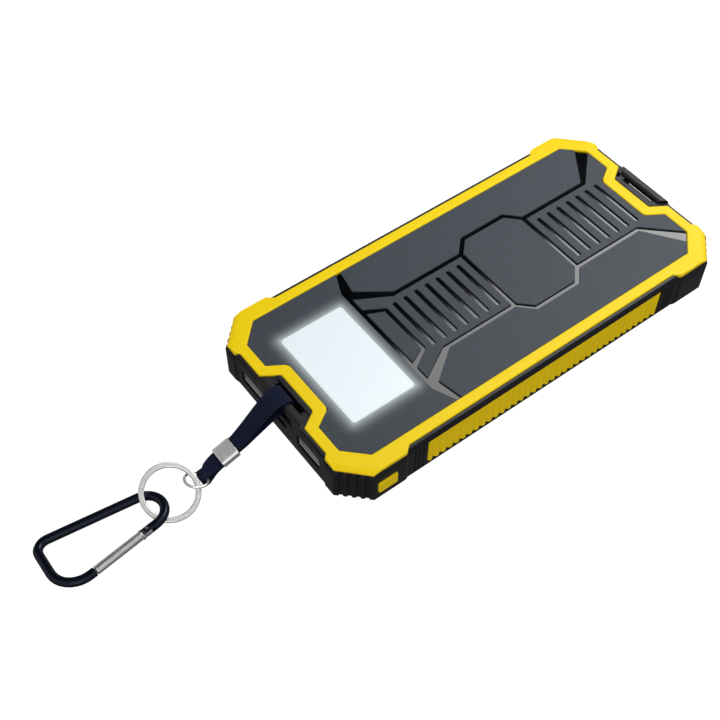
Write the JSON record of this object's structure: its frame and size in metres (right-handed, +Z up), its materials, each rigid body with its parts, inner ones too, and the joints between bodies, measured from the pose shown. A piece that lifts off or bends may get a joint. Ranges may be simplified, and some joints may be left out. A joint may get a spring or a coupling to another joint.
{
  "type": "solar phone charger",
  "caption": "Rugged rectangular solar power bank with area lamp, ribbed grips, charging ports, power button, lanyard strap and carabiner.",
  "frame": {"origin": "middle of the case's resting face, under the solar panel", "axes": "+Y along the case away from the ports and the strap, +X towards the power button's side, +Z up through the lamp side"},
  "size_m": [0.087, 0.2743, 0.02],
  "materials": {
    "shell": "satin moulded",
    "seal": "moulded",
    "steel": "plain",
    "yellow": "satin moulded",
    "gloss_floor": "high gloss",
    "face": "fine satin texture",
    "lens": "diffusing, lit",
    "white_board": "solder mask",
    "led": "moulded",
    "wire": "extruded",
    "cover_glass": "polished",
    "solar_cell": "printed silicon",
    "pouch": "laminated foil",
    "foam": "foam",
    "circuit_board": "solder mask",
    "plated_steel": "nickel plated",
    "tongue": "moulded",
    "black_plastic": "moulded",
    "ferrite": "pressed",
    "capacitor": "sleeved",
    "webbing": "woven",
    "anodised": "anodised",
    "bare_aluminium": "drawn"
  },
  "bodies": {
    "case": {"upper_shell": "shell", "lower_shell": "shell", "shell_seal": "seal", "case_screws": "steel", "upper_frame": "yellow", "lower_frame": "yellow", "face_base": "gloss_floor", "lamp_plate": "face", "lamp_trim_plate": "face", "front_slotted_plate": "face", "centre_plate": "face", "rear_slotted_plate": "face", "left_face_plate": "face", "right_face_plate": "face", "lamp_lens": "lens", "lamp_board": "white_board", "lamp_leds": "led", "lamp_wires": "wire", "solar_cover": "cover_glass", "solar_cells": "solar_cell", "solar_backing": "white_board", "solar_wires": "wire", "left_grip": "yellow", "right_grip": "yellow", "battery_left": "pouch", "battery_right": "pouch", "battery_pads": "foam", "battery_wires": "wire", "main_board": "circuit_board", "usb_shell_left": "plated_steel", "usb_shell_right": "plated_steel", "usb_core_left": "tongue", "usb_core_right": "tongue", "micro_usb_shell": "plated_steel", "micro_usb_core": "black_plastic", "charge_chips": "black_plastic", "coils": "ferrite", "capacitors": "capacitor", "power_switch": "black_plastic", "strap": "webbing", "strap_crimp": "plated_steel"},
    "button": {"power_button": "yellow", "switch_plunger": "tongue"},
    "small_ring": {"small_ring": "plated_steel"},
    "split_ring": {"split_ring": "plated_steel"},
    "carabiner": {"carabiner_body": "anodised", "gate_pin": "steel"},
    "gate": {"carabiner_gate": "bare_aluminium"}
  },
  "joints": [
    {"name": "power_button_press", "type": "slide", "parent": "case", "child": "button", "axis": [-1, 0, 0], "range_m": [0, 0.0004], "stiffness_N_per_m": 1500},
    {"name": "small_ring_swing", "type": "hinge", "parent": "case", "child": "small_ring", "pos_m": [0.00106, -0.12133, 0.00231], "axis": [-1, 0, 0], "range_deg": [0, 28]},
    {"name": "split_ring_swing", "type": "hinge", "parent": "small_ring", "child": "split_ring", "pos_m": [-0.0002, -0.12645, 0.00405], "axis": [-1, 0, 0], "range_deg": [0, 15]},
    {"name": "carabiner_swing", "type": "hinge", "parent": "split_ring", "child": "carabiner", "pos_m": [0.0003, -0.143, 0.0036], "axis": [0, 0, 1], "range_deg": [-5, 12]},
    {"name": "carabiner_gate_open", "type": "hinge", "parent": "carabiner", "child": "gate", "pos_m": [0.00857, -0.1491, 0.00489], "axis": [0.1547, 0, -0.988], "range_deg": [0, 22], "stiffness_Nm_per_rad": 0.02}
  ]
}
